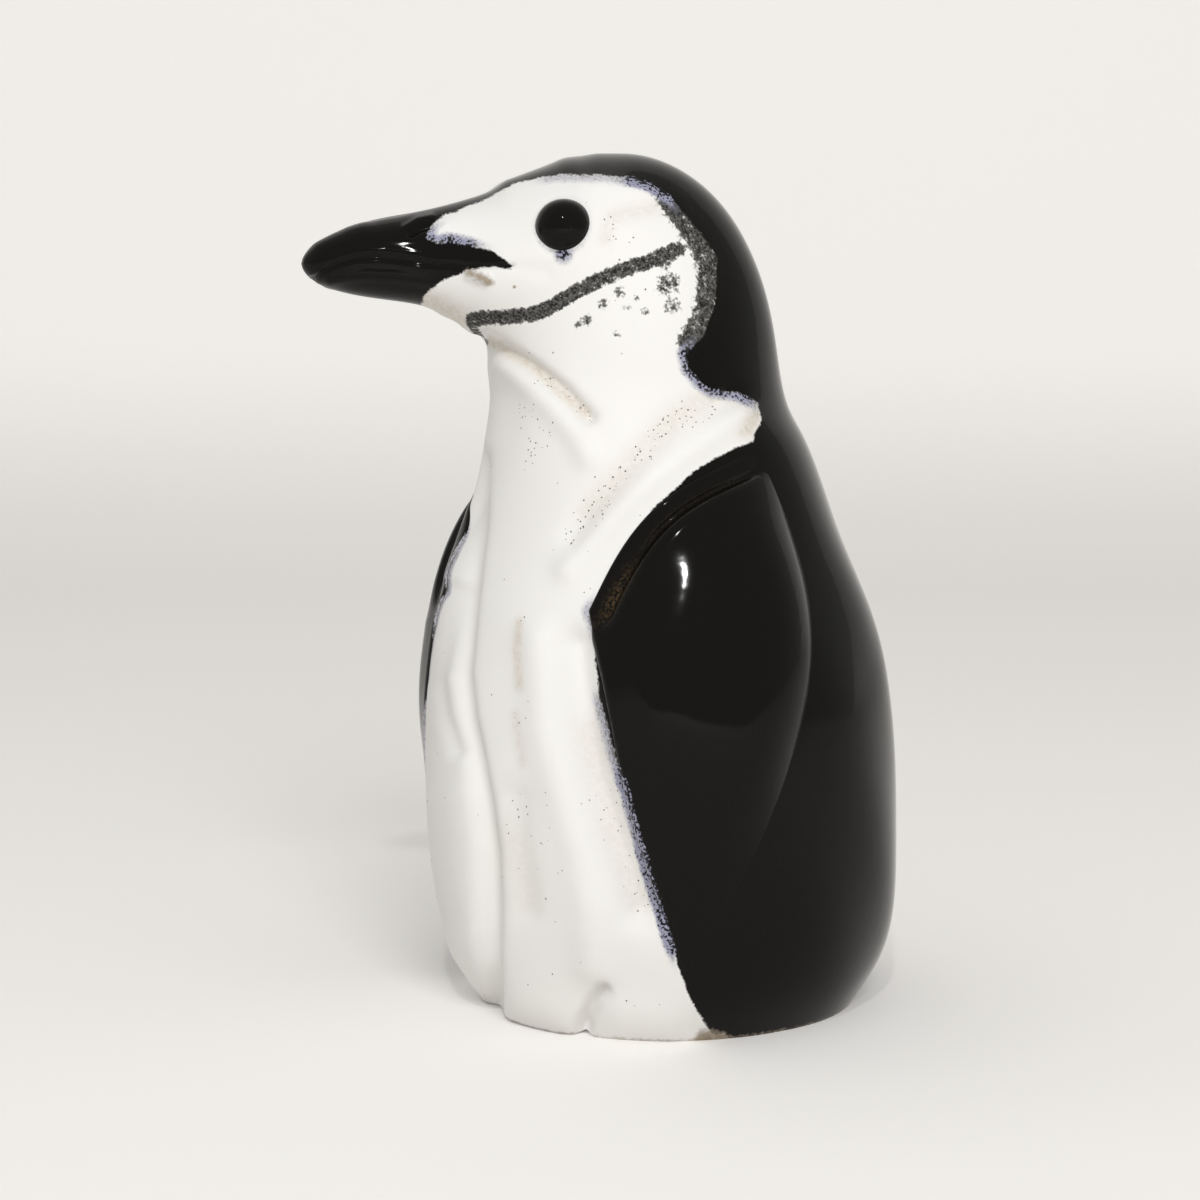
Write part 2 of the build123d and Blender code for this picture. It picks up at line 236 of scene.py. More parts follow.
bellyFolds = dict(  # only where the photograph shows them
    bellyGroove=([(478, 457), (477, 520), (471, 570), (465, 617), (459, 670), (464, 716), (473, 755),
                  (482, 800), (488, 850), (489, 900), (490, 950), (493, 1000), (495, 1040)], -1.8, 9),
    sideGroove=([(458, 590), (446, 641), (437, 679), (443, 715), (455, 751)], -0.7, 8),
    bellyFold=([(538, 640), (542, 730), (560, 790), (578, 850), (588, 910), (592, 965)], 0.8, 20),
    bellyValley=([(515, 800), (520, 860), (525, 910)], -0.6, 16),
    flankFold=([(455, 800), (462, 860), (472, 930)], 0.45, 18),
    hemNotch=([(580, 1055), (585, 1020), (594, 1002), (602, 992)], -1.7, 7),
    middleLobe=([(520, 1005), (560, 1015)], 0.9, 24),
    leftLobe=([(462, 950), (480, 965)], 0.6, 22),
    rightLobe=([(625, 1015), (665, 1020)], 0.7, 22))
crestFolds = dict(  # across the midline of the head
    forehead=([(510, 184), (540, 170), (560, 163)], 0.7, 16), brow=([(578, 158), (592, 155)], 0.3, 16))
eyeSpot = dict(centre=(562, 227), radius=26.5, paint=22.0, socket=0.12, socketWidth=3.0)
# degrees that the right flipper and its black lie further round than the left, at its foot and its top
farTurn = dict(low=14.0, high=8.0, start=50.0, end=62.0)
farBlack = dict(late=0.6, full=52.0, gone=62.0)  # mm that it begins later, fading out between two heights
sight = dict(hidden=-0.45, edge=-0.28, full=0.0)  # facing at which far marks go over to the twin's
crestStripe = dict(half=1.5, steep=0.25, above=96.0)  # black over the forehead
farShoulder = dict(rise=1.25, angle=-45.0, spread=22.0, height=55.0, reach=8.0)  # fuller than the near one


def farAngle(height):
    rise = ease(height, farTurn["start"], farTurn["end"])
    return farTurn["low"] + (farTurn["high"] - farTurn["low"]) * rise


def shotFacing(points, normals):
    toShot = shotEye - points
    return (normals * toShot).sum(-1) / np.linalg.norm(toShot, axis=-1)


def markSpots(points, normals, twins, twinNormals, far):
    # where a mark is looked up in the photograph, and how much of it shows: the far side takes its own
    # spot where it comes into sight, and elsewhere that of its twin on the near side
    direct = shotFacing(points, normals)
    twinSeen = ease(shotFacing(twins, twinNormals), -0.05, 0.12)
    inSight = far & (direct > sight["edge"])
    marks = np.where(inSight[..., None], photoSpot(points), photoSpot(twins))
    hidden = twinSeen * np.where(far, 1 - ease(direct, sight["hidden"], sight["edge"]), 1.0)
    return marks, np.where(inSight, ease(direct, sight["edge"], sight["full"]), hidden)


def relief(points, normals, twins, twinNormals, far):
    # push along the normals; twins are the matching points on the side that the photograph shows
    spots, twinSpots = photoSpot(points), photoSpot(twins)
    seen = ease(shotFacing(points, normals), -0.05, 0.12)
    marks, shown = markSpots(points, normals, twins, twinNormals, far)
    push = np.zeros(points.shape[:-1])
    for line, height, halfWidth in sideFolds.values():
        push += height * furrow(marks, line, halfWidth) * shown
    for line, height, halfWidth in bellyFolds.values():
        push += height * furrow(spots, line, halfWidth) * seen
    for line, height, halfWidth in crestFolds.values():
        push += height * furrow(twinSpots, line, halfWidth) * ease(normals[..., 2], 0.0, 0.4)
    toEye = np.linalg.norm(marks - eyeSpot["centre"], axis=-1)
    ring = np.exp(-((toEye - eyeSpot["radius"] - 2) / eyeSpot["socketWidth"]) ** 2)
    push -= eyeSpot["socket"] * ring * shown
    x, y, z = points[..., 0], points[..., 1], points[..., 2]
    turn = np.degrees(np.arctan2(x, -y)) - farShoulder["angle"]
    push += farShoulder["rise"] * np.exp(-(turn / farShoulder["spread"]) ** 2
                                         - ((z - farShoulder["height"]) / farShoulder["reach"]) ** 2)
    # slow unevenness of a hand-pinched wall
    push += 0.10 * np.sin(0.31 * x + 0.9) * np.sin(0.27 * z + 0.4) + 0.09 * np.sin(0.36 * y + 0.21 * z)
    return push * ease(z, -2.0, 1.2)  # the hem gives a little too


# glaze borders, stains and painted shade, in photograph pixels
whiteEdge = [  # outline of the white on the side that shows
    (513, 266), (501, 258), (488, 249), (469, 243), (449, 239), (437, 241), (429, 236), (431, 229),
    (437, 221), (443, 215), (458, 211), (474, 204), (489, 197), (501, 191), (512, 185), (536, 178),
    (560, 176), (600, 176), (630, 180), (652, 187), (667, 197), (688, 218), (706, 241), (718, 259),
    (716, 286), (713, 310), (703, 336), (684, 352), (686, 368), (698, 383), (711, 392), (737, 395),
    (756, 404), (761, 419), (755, 434), (754, 442), (735, 448), (700, 466), (660, 501), (629, 543),
    (604, 588), (587, 611), (594, 623), (595, 660), (599, 700), (609, 740), (628, 800), (647, 870),
    (672, 950), (690, 1000), (712, 1035), (724, 1060), (724, 1200), (100, 1200), (100, 360), (300, 360),
    (414, 330), (421, 307), (423, 297), (431, 289), (441, 282), (455, 276), (466, 271), (478, 269),
    (495, 267), (510, 269)]
eyeDrip = (563, 255, 4.0)
strapLine = [(473, 320), (484, 318), (507, 317), (530, 315), (546, 309), (566, 298), (585, 287), (603, 278),
             (626, 269), (650, 261), (678, 249)]
strapTail = [(469, 321), (477, 333), (484, 343)]
strapHalf = 9.5
splotches = [(586, 321, 13), (577, 325, 6), (603, 304, 12), (619, 292, 12), (627, 307, 9), (636, 297, 8),
             (645, 311, 9), (617, 334, 8), (668, 284, 24), (664, 262, 16), (672, 306, 16)]
napeLine = [(672, 200), (688, 222), (703, 244), (711, 263), (711, 290), (706, 318), (692, 342)]
napeHalf = 17.0
fringeLines = [  # where the black breaks to foam, and how far
    ([(428, 236), (446, 239), (470, 244)], 1.0), ([(550, 177), (590, 175), (630, 179)], 0.5),
    ([(640, 183), (654, 189), (664, 196)], 1.4),
    ([(681, 350), (688, 370), (700, 385), (725, 395), (748, 399)], 1.0),
    ([(586, 610), (593, 623)], 0.7), ([(603, 705), (614, 750), (624, 785)], 0.8),
    ([(624, 785), (632, 815), (641, 848)], 1.0), ([(643, 858), (650, 880), (660, 915), (669, 945)], 1.7)]
# stains and painted shade: ochreLine, ochreTail and tongue are stains on the glaze; throat, shoulder, temple,
# tongueTop, chin, hollow and lowBelly are painted shade, a tan darkening along the throat crease, the shoulder groove,
# the temple hollow, the groove above the tongue, under the chin, in the wing hollow and in the belly valley
stainsAndShade = dict(  # line, strength, half width
    ochreLine=([(519, 622), (517, 650), (519, 688)], 0.5, 4.5),
    ochreTail=([(515, 715), (518, 735), (523, 765)], 0.3, 5),
    shoulder=([(700, 405), (677, 416), (636, 459), (590, 510)], 0.3, 13),
    throat=([(490, 341), (536, 368), (586, 413)], 0.6, 6),
    temple=([(606, 238), (612, 216), (640, 210), (664, 206)], 0.25, 9),
    tongue=([(747, 431), (757, 414)], 0.6, 9),
    tongueTop=([(712, 397), (745, 402)], 0.35, 6),
    chin=([(426, 301), (442, 308), (462, 322)], 0.55, 11),
    hollow=([(590, 730), (614, 832), (638, 900)], 0.25, 15),
    lowBelly=([(512, 830), (528, 900)], 0.12, 22))
clays = dict(
    gape=([(470, 273), (480, 277), (489, 282)], 0.85, 6.5), hem=([(702, 1034), (722, 1038)], 0.9, 7),
    dot=([(514, 287), (514.5, 287)], 1.0, 2.0))
pitLines = dict(  # pits for each square mm
    shoulder=([(700, 412), (677, 418), (640, 456), (604, 492), (572, 536)], 1.7, 10),
    throat=([(526, 412), (541, 440), (534, 458)], 1.1, 9), crease=([(540, 375), (588, 416)], 1.2, 6),
    hollow=([(600, 800), (622, 850), (640, 900)], 0.55, 14), ochre=([(518, 620), (517, 730)], 0.5, 7),
    flank=([(534, 790), (545, 870)], 0.3, 20), temple=([(610, 236), (614, 226)], 1.0, 5))


def glazeFields(points, normals, twins, twinNormals, far, bias=0.0):
    # what the glaze shader needs at each point; bias lets the black run further
    twinSpots = photoSpot(twins)
    direct = shotFacing(points, normals)
    marks, shown = markSpots(points, normals, twins, twinNormals, far)
    edge = lineDistance(twinSpots, whiteEdge, closed=True)
    black = np.where(insideLine(twinSpots, whiteEdge), -edge, edge)
    toEye = np.linalg.norm(twinSpots - eyeSpot["centre"], axis=-1)
    toDrip = np.linalg.norm(twinSpots - eyeDrip[:2], axis=-1)
    onFace = points[..., 2] > form["neckHeight"]
    eyeBlack = np.where(onFace, np.maximum(eyeSpot["paint"] - toEye, eyeDrip[2] - toDrip), -99.0)
    black = np.maximum(black, eyeBlack) * pixelSize + bias
    low = 1 - ease(points[..., 2], 64, 72)
    later = farBlack["late"] * (1 - ease(points[..., 2], farBlack["full"], farBlack["gone"]))
    black = black - np.where(far, later, 0.0)
    crest = crestStripe["half"] - np.abs((points - fanCentre) @ headLeft)
    onCrest = (normals[..., 2] > crestStripe["steep"]) & (points[..., 2] > crestStripe["above"])
    black = np.where(onCrest, np.maximum(black, crest), black)
    nape = 0.9 * (1 - ease(lineDistance(marks, napeLine), napeHalf - 9, napeHalf + 7))
    strap = 0.92 * (1 - ease(lineDistance(marks, strapLine), strapHalf - 5, strapHalf + 3))
    strap = np.maximum(strap, 0.8 * (1 - ease(lineDistance(marks, strapTail), 2, 7)))
    for x, y, radius in splotches:
        blot = 0.7 * (1 - ease(np.linalg.norm(marks - (x, y), axis=-1), 0.2 * radius, radius))
        strap = np.maximum(strap, blot)
    brushed = np.maximum(nape, strap) * shown * onFace
    fringe = sum(much * furrow(marks, line, 13) for line, much in fringeLines) * shown
    eyeFoam = 0.3 * np.exp(-((toEye - eyeSpot["radius"]) / 5) ** 2) + np.exp(-(toDrip / 9) ** 2)
    fringe += np.where(onFace, eyeFoam, 0)
    fringe += np.where(far & (direct > -0.12), 0.7 * low * ease(points[..., 2], 22, 30), 0.0)
    # tan stains, together with painted shade in the creases and hollows
    stainAndShade = sum(depth * furrow(marks, line, halfWidth) for line, depth, halfWidth in stainsAndShade.values()) * shown
    clay = sum(depth * furrow(marks, line, halfWidth) for line, depth, halfWidth in clays.values()) * shown
    clay += 0.55 * (1 - ease(points[..., 2], 0.1, 0.8))
    pits = sum(depth * furrow(marks, line, halfWidth) for line, depth, halfWidth in pitLines.values()) * shown
    pits = (pits + 0.012) * ease(-black, 0.2, 0.8) * (points[..., 2] > 1.0)
    # bronze, the painted highlight, is set only on the flipper
    fields = dict(black=black, brushed=brushed, fringe=fringe, stainAndShade=stainAndShade, clay=clay, paintedHighlight=0 * black)
    top = dict(black=9, fringe=3)
    return {key: np.clip(value, -9, top.get(key, 1)) for key, value in fields.items()}, pits


def meshObject(name, points, faces, normals=None, fields=None):
    mesh = bpy.data.meshes.new(name)
    mesh.from_pydata((points * mm).tolist(), [], faces)
    mesh.update()
    mesh.polygons.foreach_set("use_smooth", np.ones(len(mesh.polygons), bool))
    for key, values in (fields or {}).items():
        mesh.attributes.new(key, "FLOAT", "POINT").data.foreach_set("value", values.astype(np.float32))
    if normals is not None:
        mesh.normals_split_custom_set_from_vertices(normals.tolist())
    obj = bpy.data.objects.new(name, mesh)
    bpy.context.scene.collection.objects.link(obj)
    return obj


def gridFaces(rows, columns, closed=True, start=0):
    faces = []
    for r in range(rows - 1):
        for c in range(columns if closed else columns - 1):
            d = (c + 1) % columns
            faces.append((start + r * columns + c, start + r * columns + d,
                          start + (r + 1) * columns + d, start + (r + 1) * columns + c))
    return faces


def allBlack(count):
    fields = {key: np.zeros(count) for key in ("black", "brushed", "fringe", "stainAndShade", "clay", "paintedHighlight")}
    fields["black"] += 9.0
    return fields


# outer skin of body and head as one grid, so that the join at the collar can't show
skin = dict(columns=360, bodyRows=180, headRows=200, spareRows=4)
headStep = (rootKnot - collarKnot) / (skin["headRows"] - 1)
along = np.concatenate([np.linspace(0, collarKnot, skin["bodyRows"]),
                        collarKnot + headStep * np.arange(1, skin["headRows"] + skin["spareRows"])])
around = np.linspace(-math.pi, math.pi, skin["columns"], endpoint=False)
collarRow, rootRow = skin["bodyRows"] - 1, skin["bodyRows"] + skin["headRows"] - 2
plain = clayForm(along, around)
plainNormals = gridNormals(plain, True)
onRight = np.broadcast_to(around < 0, plain.shape[:2])
heights = plain[..., 2].mean(1)
shift = np.radians(farAngle(heights) * (1 - ease(heights, 70, 80)))[:, None] * np.ones_like(around)
twinAround = np.where(onRight, np.maximum(-around - shift, 0), around)
twins = clayForm(along, twinAround)
twinNormals = np.where(onRight[..., None], np.roll(plainNormals[:, ::-1], 1, 1), plainNormals)
outer = plain + plainNormals * relief(plain, plainNormals, twins, twinNormals, onRight)[..., None]
outer[..., 2] = np.clip(outer[..., 2], 0.0, cadBox[1][2] / mm - 0.02)
outerNormals = gridNormals(outer, True)
skinTwins = np.where(onRight[..., None], twins, outer)
skinFields, pits = glazeFields(outer, plainNormals, skinTwins, twinNormals, onRight)
skinTree = BVHTree.FromPolygons(outer.reshape(-1, 3).tolist(), gridFaces(len(along), skin["columns"]))
print("clay skin:", outer.shape, "crown at", round(outer[..., 2].max(), 2))


def shellObject(name, first, last, inner, capOuter, capInner):
    # closed piece: the skin's rows from first to last, an inner wall, and the rims or caps between them
    columns = skin["columns"]
    rows = list(inner) + [outer[i] for i in range(first, last)]
    points = np.concatenate(rows)
    normals = np.concatenate(list(-gridNormals(inner, True)) + [outerNormals[i] for i in range(first, last)])
    fields = {}
    for key, values in skinFields.items():
        pad = np.full(len(inner) * columns, 1.0 if key == "clay" else -9.0 if key == "black" else 0.0)
        fields[key] = np.concatenate([pad, values[first:last].reshape(-1)])
    faces = gridFaces(len(rows), columns)
    total, base = len(points), (len(rows) - 1) * columns
    extra = []
    if capInner:
        extra.append(inner[0].mean(0))
        faces += [(total, (c + 1) % columns, c) for c in range(columns)]
    else:
        faces += [(base + c, base + (c + 1) % columns, (c + 1) % columns, c) for c in range(columns)]
    if capOuter:
        extra.append(outer[last - 1].mean(0))
        faces += [(base + c, base + (c + 1) % columns, total + len(extra) - 1) for c in range(columns)]
    if extra:
        points = np.concatenate([points, extra])
        normals = np.concatenate([normals, [(0, 0, 1)] * len(extra)])
        for key in fields:
            fields[key] = np.concatenate([fields[key], np.zeros(len(extra))])
    return meshObject(name, points, faces, normals, fields)


bodyInner = clayForm(np.linspace(collarKnot, 0, 24), around, form["wall"])
body = shellObject("glazed_body", 0, collarRow + 1, bodyInner, False, False)
headInner = clayForm(np.linspace(browKnot, collarKnot, 24), around, form["wall"])
head = shellObject("glazed_head", collarRow, rootRow + 1, headInner, True, True)
print("shells:", len(body.data.polygons), len(head.data.polygons))


# flippers: leaf-shaped slabs, rounded over in front and melting into the body behind and below
flipper = dict(
    leftAngle=58.0, thickness=3.0, edgeShare=0.55, domeReach=9.0, frontRound=1.6, rearFall=8.5, strip=0.5,
    stripRound=0.6, lineTop=2.6, lineCorner=2.3, frontSoft=4.5, farShare=0.65, grooveDepth=0.3, grooveWidth=0.35,
    rows=200, columns=90, seat=0.6, sunk=0.12, blackOver=0.8,
    outline=dict(top=(6.5, 69.5), slope=(-7.0, 63.5), corner=(-15.4, 51.4), lowerFront=(-12.2, 30.2),
                 tip=(-4.5, 7.1), lowerRear=(4.0, 25.9), rear=(11.2, 54.8)))  # mm behind the middle of the flipper, and height


def smoothEdge(*names):
    corners = np.array([flipper["outline"][name] for name in names])
    marks = np.concatenate([[0.0], np.cumsum(np.linalg.norm(np.diff(corners, axis=0), axis=1))])
    return smoothThrough(corners, marks, np.linspace(0, marks[-1], 60))


def roundOver(distance, radius):
    return np.sqrt(np.clip(1 - (1 - np.clip(distance / radius, 0, 1)) ** 2, 0, 1))


slopeEdge = smoothEdge("corner", "slope", "top")
frontEdge = smoothEdge("tip", "lowerFront", "corner")
rearEdge = smoothEdge("tip", "lowerRear", "rear", "top")
leafLead = np.concatenate([frontEdge, slopeEdge[1:]])
leafHeights = np.linspace(flipper["outline"]["tip"][1], flipper["outline"]["top"][1], flipper["rows"])
leafShare = 0.5 - 0.5 * np.cos(np.linspace(0, math.pi, flipper["columns"]))
lead = np.interp(leafHeights, leafLead[:, 1], leafLead[:, 0])
trail = np.interp(leafHeights, rearEdge[:, 1], rearEdge[:, 0])
leafAcross = lead[:, None] + (trail - lead)[:, None] * leafShare
leaf = np.stack(np.broadcast_arrays(leafAcross, leafHeights[:, None]), -1)
toSlope, toFront, toRear = (lineDistance(leaf, edge) for edge in (slopeEdge, frontEdge, rearEdge))


def flipperRise():
    # height of the slab over the skin, and the bronze painted highlight along the incised line
    z = leaf[..., 1]
    low, high = flipper["outline"]["corner"][1], flipper["outline"]["top"][1]
    climb = np.clip((z - low) / (high - low), 0, 1)
    inset = flipper["lineCorner"] + (flipper["lineTop"] - flipper["lineCorner"]) * climb
    fromLine = toSlope - inset
    slabLip = np.clip(np.minimum(fromLine, toFront), 0, None)
    slab = flipper["thickness"] - flipper["strip"]
    slab = slab * (flipper["edgeShare"] + (1 - flipper["edgeShare"]) * ease(slabLip, 0, flipper["domeReach"]))
    slab = slab * roundOver(np.clip(fromLine, 0, None), flipper["frontRound"]) * ease(z, 12, 42)
    slab = slab * ease(toFront, -0.8, flipper["frontSoft"])
    strip = flipper["strip"] * roundOver(np.minimum(toSlope, toFront), flipper["stripRound"])
    rise = (slab + strip) * (1 - (1 - np.clip(toRear / flipper["rearFall"], 0, 1)) ** 2)
    onSlope = ease(z, low - 3, low + 1) * ease(toRear, 0.5, 3)
    groove = np.exp(-((fromLine + flipper["grooveWidth"]) / flipper["grooveWidth"]) ** 2)
    rise -= flipper["grooveDepth"] * groove * onSlope
    # bronze painted highlight along the incised line, fainter low on the slope
    paintedHighlight = np.exp(-((fromLine + 0.4) / 0.7) ** 2) * onSlope * (0.08 + 0.6 * (1 - ease(z, 53, 58)))
    return rise, paintedHighlight


leafRise, leafPaintedHighlight = flipperRise()


def leafObject(name, rise, cast, fieldsFor):
    # a slab on the skin: cast gives each grid point's ray, fieldsFor the glaze on its face
    shape = rise.shape
    starts, direction = cast
    face, under = np.zeros(shape + (3,)), np.zeros(shape + (3,))
    for r in range(shape[0]):
        for c in range(shape[1]):
            spot, normal, _, _ = skinTree.ray_cast(Vector(starts[r, c]), Vector(direction[r]))
            spot, normal = np.array(spot), np.array(normal)
            face[r, c] = spot + normal * (rise[r, c] - flipper["sunk"])
            under[r, c] = spot - normal * flipper["seat"]
    rows, columns = shape
    half = rows * columns
    faces = gridFaces(rows, columns, closed=False)
    faces += [tuple(half + i for i in reversed(quad)) for quad in gridFaces(rows, columns, closed=False)]
    ring = list(range(columns)) + [r * columns + columns - 1 for r in range(1, rows)]
    ring += [(rows - 1) * columns + c for c in range(columns - 2, -1, -1)]
    ring += [r * columns for r in range(rows - 2, 0, -1)]
    faces += [(b, a, half + a, half + b) for a, b in zip(ring, ring[1:] + ring[:1])]
    middle = (rows // 2, columns // 2)
    if np.dot(gridNormals(face, False)[middle], direction[middle[0]]) > 0:  # the grid runs the other way round
        faces = [quad[::-1] for quad in faces]
    fields = fieldsFor(face)
    fields = {key: np.concatenate([values.reshape(-1), np.zeros(half)]) for key, values in fields.items()}
    fields["black"][half:] = 9.0
    points = np.concatenate([face.reshape(-1, 3), under.reshape(-1, 3)])
    return meshObject(name, points, faces, None, fields), face


def flipperObject(name, side, leftFace=None):
    angle = np.radians(flipper["leftAngle"] + farAngle(leafHeights) * (side < 0))
    out = np.stack([side * np.sin(angle), -np.cos(angle), 0 * angle], -1)
    rear = np.stack([side * np.cos(angle), np.sin(angle), 0 * angle], -1)
    starts = leaf[..., :1] * rear[:, None] + leaf[..., 1:] * up + out[:, None] * 60

    def outward(face):
        normals = gridNormals(face, False)
        away = np.array([math.copysign(1, face[0, 0, 0]), -0.6, 0])
        return normals * np.sign((normals * away).sum(-1, keepdims=True))

    def fieldsFor(face):
        shown = face if leftFace is None else leftFace
        far = np.full(face.shape[:2], side < 0)
        bias = flipper["blackOver"] * ease(face[..., 2], 34, 44) * (1 - ease(face[..., 2], 60, 67))
        fields, _ = glazeFields(face, outward(face), shown, outward(shown), far, bias)
        # the bronze painted highlight goes on the near flipper only
        fields["paintedHighlight"] = leafPaintedHighlight * (side > 0)
        return fields

    return leafObject(name, leafRise * (1 if side > 0 else flipper["farShare"]), (starts, -out), fieldsFor)


leftFlipper, leftFace = flipperObject("left_flipper_slab", 1)
rightFlipper, _ = flipperObject("right_flipper_slab", -1, leftFace)
corner = leftFace[np.argmin(np.abs(leafHeights - flipper["outline"]["corner"][1])), 0]
print("flippers:", len(leftFlipper.data.polygons), "corner in the photograph", photoSpot(corner).round(1))


# tail: a stub pinched out of the foot of the back
tail = dict(bottom=4.1, top=17.0, halfWidth=7.6, narrowing=0.5, length=4.6, rows=70, columns=60)
tailHeights = np.linspace(tail["bottom"], tail["top"], tail["rows"])
tailShare = np.sin(np.linspace(-math.pi / 2, math.pi / 2, tail["columns"]))
climb = (tailHeights - tail["bottom"]) / (tail["top"] - tail["bottom"])
tailHalf = tail["halfWidth"] * (1 - tail["narrowing"] * climb ** 1.6)
tailX = tailHalf[:, None] * tailShare
tailRise = tail["length"] * (1 - climb[:, None]) ** 1.2 * np.sqrt(np.clip(1 - tailShare ** 2, 0, 1)) ** 0.8
tailStarts = np.stack(np.broadcast_arrays(tailX, 60.0, tailHeights[:, None]), -1)
tailPiece, _ = leafObject("tail_stub", tailRise, (tailStarts, np.tile([0.0, -1.0, 0.0], (tail["rows"], 1))),
                          lambda face: {key: values.reshape(tailRise.shape)
                                        for key, values in allBlack(tailRise.size).items()})
print("tail:", len(tailPiece.data.polygons))


# bill halves: the same skin carried on to the tip and parted along the mouth line
bill = dict(rows=110, columns=130, spareRows=4, shorter=0.5, tipRound=1.9, lowerEnd=0.2)


def billObject(name, upper):
    step = (tipKnot - bill["shorter"] - rootKnot) / (bill["rows"] - 1)
    at = rootKnot + step * np.arange(-bill["spareRows"], bill["rows"])
    sample = np.linspace(0.02, math.pi - 0.1, 500)
    spots = photoSpot(clayForm(at, sample))
    line = np.array(mouthLine)
    over = spots[..., 1] < np.interp(spots[..., 0], line[:, 0], line[:, 1])
    split = sample[np.argmax(over, axis=1)]  # angle from straight down to the mouth line
    last = len(at)
    if not upper:
        short = np.nonzero(split < bill["lowerEnd"])[0]
        last = short[0] if len(short) else last
    at, split = at[:last], split[:last]
    share = np.linspace(0, 1, bill["columns"])
    first, second = (split, 2 * math.pi - split) if upper else (-split, split)
    angle = first[:, None] + (second - first)[:, None] * share
    points = clayForm(at, angle)
    normals = gridNormals(points, False)
    far = (angle > math.pi) if upper else (angle < 0)
    twinAngle = np.where(far, 2 * math.pi - angle if upper else -angle, angle)
    twinPoints = clayForm(at, twinAngle)
    twinNormals = np.where(far[..., None], normals[:, ::-1], normals)
    fields, _ = glazeFields(points, normals, twinPoints, twinNormals, far)
    points = points + normals * relief(points, normals, twinPoints, twinNormals, far)[..., None]
    # round the tip off
    ahead = (smoothThrough(ovals, knots, at)[:, 0] - rootCentre) @ headAhead
    end = ahead.max() if upper else form["billLength"] - bill["shorter"]
    left = np.clip((end - ahead) / bill["tipRound"], 0, 1)
    middle = smoothThrough(ovals, knots, at)[:, None, 0]
    points = middle + (points - middle) * np.sqrt(np.clip(1 - (1 - left) ** 2, 0.0004, 1))[:, None, None]
    normals = gridNormals(points, False)
    points, normals = points[bill["spareRows"]:], normals[bill["spareRows"]:]
    fields = {key: values[bill["spareRows"]:].reshape(-1) for key, values in fields.items()}
    rows, columns = points.shape[:2]
    faces = gridFaces(rows, columns, closed=False)
    faces += [(r * columns + columns - 1, r * columns, (r + 1) * columns, (r + 1) * columns + columns - 1)
              for r in range(rows - 1)]  # inside of the mouth
    faces.append(tuple(range(columns))[::-1])
    faces.append(tuple((rows - 1) * columns + c for c in range(columns)))
    return meshObject(name, points.reshape(-1, 3), faces, normals.reshape(-1, 3), fields)


upperBill, lowerBill = billObject("upper_bill_half", True), billObject("lower_bill_half", False)
print("bill:", len(upperBill.data.polygons), len(lowerBill.data.polygons))


# eye pellets, a little out of round, with flat backs
eye = dict(step=3.36, spread=0.655, lift=0.8, back=0.65, radius=3.43, seat=1.4, rows=40, columns=72)


def eyeObject(name, side):
    outward = headLeft * side
    centre = fanSpot(eye["step"], "brow")[1] + outward * (eye["spread"] * form["headWidth"] / 2 + eye["lift"])
    centre = centre - headAhead * eye["back"]
    polar = np.linspace(0, math.acos(-eye["seat"] / eye["radius"]), eye["rows"])
    turn = np.linspace(0, 2 * math.pi, eye["columns"], endpoint=False)
    wobble = 1 - 0.012 * (1 + np.sin(2 * turn + 0.6)) - 0.02 * np.exp(-((turn - math.pi / 2) / 0.5) ** 2)
    flat = np.sin(polar)[:, None] * wobble * eye["radius"]
    lift = np.cos(polar)[:, None] * eye["radius"] * np.ones_like(turn)
    points = centre + lift[..., None] * outward + flat[..., None] * (
        np.cos(turn)[:, None] * headAhead * side + np.sin(turn)[:, None] * up)
    points = points.reshape(-1, 3)[eye["columns"] - 1:]
    points[0] = centre + outward * eye["radius"]
    columns = eye["columns"]
    faces = [(0, 1 + (c + 1) % columns, 1 + c) for c in range(columns)]
    faces += [quad[::-1] for quad in gridFaces(eye["rows"] - 1, columns, start=1)]
    faces.append(tuple(1 + (eye["rows"] - 2) * columns + c for c in range(columns)))
    return meshObject(name, points, faces, None, allBlack(len(points)))


leftEye, rightEye = eyeObject("left_eye_pellet", 1), eyeObject("right_eye_pellet", -1)
print("eye in the photograph:", photoSpot(np.array(leftEye.data.vertices[0].co) / mm).round(1))


# slab that closes the body, with its vent, set back a little from the hem
slab = dict(recess=0.35, thickness=5.6, gap=0.06, ventRadius=2.5, ventBack=9.9, edgeRound=0.5, lift=0.12, turns=160,
            steps=24)


